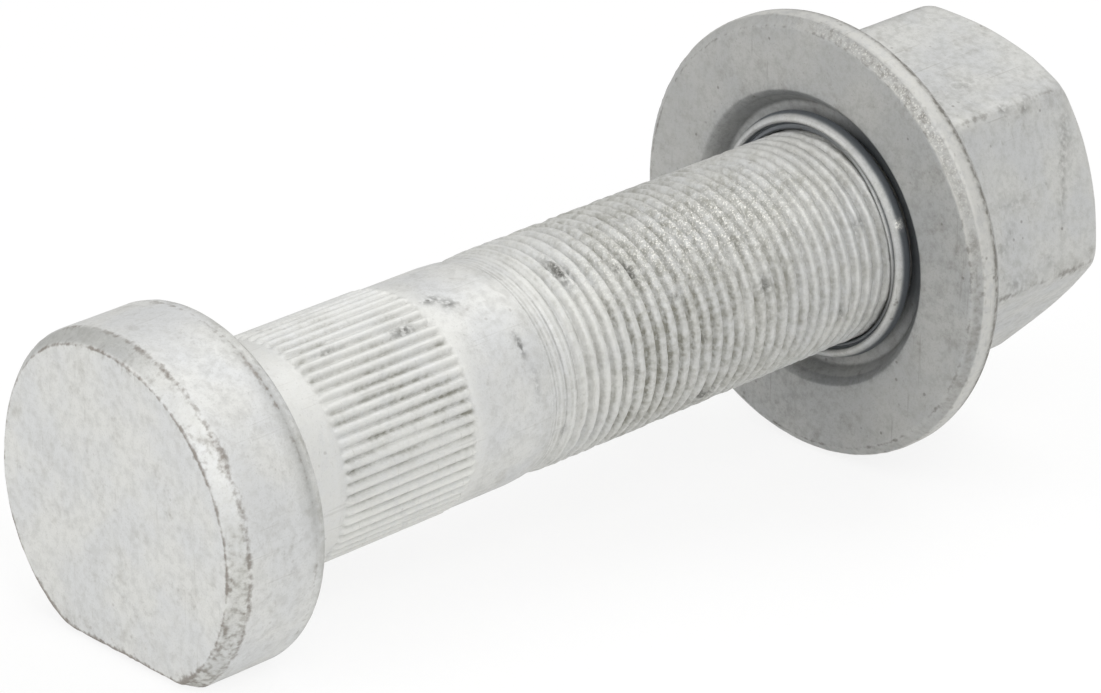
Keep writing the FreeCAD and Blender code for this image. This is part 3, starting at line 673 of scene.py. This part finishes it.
    # Bore: the sheet follows the plain front, a lead-in, the crests, the end chamfer and the end face, and
    # the thread is cut out of it outwards to the bore's full radius
    start = 91.35 + threadPitch * (angles[0] % (2 * math.pi)) / (2 * math.pi)
    coneStart = n["end"] - (n["mouth"] - n["crest"])
    coneEnd = coneStart + 1.4142 * (n["mouth"] - n["crest"])
    wayAlong = [start, *n["leadIn"], coneStart, n["end"], n["end"]]
    wayRadius = [n["bore"], n["bore"], n["crest"], n["crest"], n["mouth"], n["boreEnd"]]
    way = [start, *n["leadIn"], coneStart, coneEnd, coneEnd + n["boreEnd"] - n["mouth"]]
    rows = helixRows(way[0], way[-1], n["rowsPerTurn"], angles)
    sheetAlong, sheetRadius = np.interp(rows, way, wayAlong), np.interp(rows, way, wayRadius)
    cut = threadCut(sheetAlong, angles)
    sheetRadius = np.maximum(sheetRadius, n["bore"] - (n["bore"] - n["crest"]) * cut)
    sheet = roundAxis(np.stack([sheetAlong, sheetRadius], -1), angles)

    ids = np.arange(edge.size).reshape(edge.shape)
    sheetIds = ids.max() + 1 + np.arange(rows.size).reshape(rows.shape)
    faces = [bandFaces(ids)]
    faces += [part[:, ::-1] for part in helixFaces(sheetIds, n["rowsPerTurn"], ids[0], ids[-1])]
    marks = {"groove": (groove, 0.8 * (1 - cut)), "wearAndLight": (wearAndLight, 0 * cut), "edge": (edge, 0 * cut),
             "bareAndShade": (bareAndShade, 0 * cut), "stain": (stain, 0 * cut), "glint": (1.4 * burrAndHighlight, 0 * cut)}
    return (np.concatenate([spots.reshape(-1, 3), sheet.reshape(-1, 3)]), faces,
            {key: np.concatenate([one.ravel(), other.ravel()]) for key, (one, other) in marks.items()})


spots, faces, marks = nutSurface(nut)
addPiece("wheel_nut_dressed", spots, faces, marks, "wheel_nut", "nut",
         zincFlake("zinc-flake coated steel, nut", nut["finish"]))


# Floor, light and camera
studio = {
    "floor": "#F6F6F5", "floorSize": 6.0, "floorGlow": 0.84, "sky": 0.52,
    "lamps": [  # name, place from the object's middle, size, watts
        ("key", (-0.35, -0.75, 0.75), 0.8, 5.5),
        ("fill", (-0.85, 0.25, 0.55), 0.8, 3.5),
        ("top", (0.55, 0.05, 0.85), 0.8, 3.2),
    ],
    "eye": (-0.33363, -0.32115, 0.191484), "aim": (-0.026831, -0.02291, 0.030934), "roll": -4.665217,
    "lens": 168.5157,
}

floorMesh = bpy.data.meshes.new("floor")
half = studio["floorSize"] / 2
floorCorners = [(-half, -half, 0), (half, -half, 0), (half, half, 0), (-half, half, 0)]
floorMesh.from_pydata(floorCorners, [], [(0, 1, 2, 3)])
floor = bpy.data.objects.new("floor", floorMesh)
bpy.context.scene.collection.objects.link(floor)
paper = bpy.data.materials.new("matt white paper")  # white board, matt; seen and mirrored nearly pure white
paper.use_nodes = True
paper.node_tree.nodes.clear()
seen = addNode(paper.node_tree, "ShaderNodeLightPath")
mirrored = addNode(paper.node_tree, "ShaderNodeLightPath", out=3)
shown = addNode(paper.node_tree, "ShaderNodeMath", {0: seen, 1: mirrored}, operation="MAXIMUM")
share = addNode(paper.node_tree, "ShaderNodeMath", {0: shown, 1: studio["floorGlow"]}, operation="MULTIPLY")
matt = addNode(paper.node_tree, "ShaderNodeBsdfDiffuse", {"Color": hexLinear(studio["floor"])})
glow = addNode(paper.node_tree, "ShaderNodeEmission", {"Color": (1, 1, 1, 1), "Strength": 1.0})
mixed = addNode(paper.node_tree, "ShaderNodeMixShader", {0: share, 1: matt, 2: glow})
addNode(paper.node_tree, "ShaderNodeOutputMaterial", {"Surface": mixed})
floorMesh.materials.append(paper)

world = bpy.data.worlds.new("white room")
bpy.context.scene.world = world
world.use_nodes = True
world.node_tree.nodes.clear()
seen = addNode(world.node_tree, "ShaderNodeLightPath")
brightness = addNode(world.node_tree, "ShaderNodeMapRange", {0: seen, 3: studio["sky"], 4: 1.0})
sky = addNode(world.node_tree, "ShaderNodeBackground", {"Color": (1, 1, 1, 1), "Strength": brightness})
addNode(world.node_tree, "ShaderNodeOutputWorld", {"Surface": sky})

for name, place, size, watts in studio["lamps"]:
    lamp = bpy.data.lights.new(name, "AREA")
    lamp.shape, lamp.size, lamp.energy = "DISK", size, watts
    holder = bpy.data.objects.new(name, lamp)
    holder.location = place
    holder.rotation_euler = (Vector((0, 0, 0.02)) - Vector(place)).to_track_quat("-Z", "Y").to_euler()
    bpy.context.scene.collection.objects.link(holder)

eye, aim = Vector(studio["eye"]), Vector(studio["aim"])
ahead = (aim - eye).normalized()
level = ahead.cross(Vector((0, 0, 1))).normalized()
roll = math.radians(studio["roll"])
up = level.cross(ahead) * math.cos(roll) + level * math.sin(roll)
right = ahead.cross(up)
optics = bpy.data.cameras.new("camera")
optics.lens, optics.sensor_width, optics.clip_start = studio["lens"], 36.0, 0.01
camera = bpy.data.objects.new("camera", optics)
camera.matrix_world = Matrix.Translation(eye) @ Matrix((right, up, -ahead)).transposed().to_4x4()
bpy.context.scene.collection.objects.link(camera)
bpy.context.scene.camera = camera
bpy.context.scene.view_settings.view_transform = "Standard"
print("floor, light and camera set")
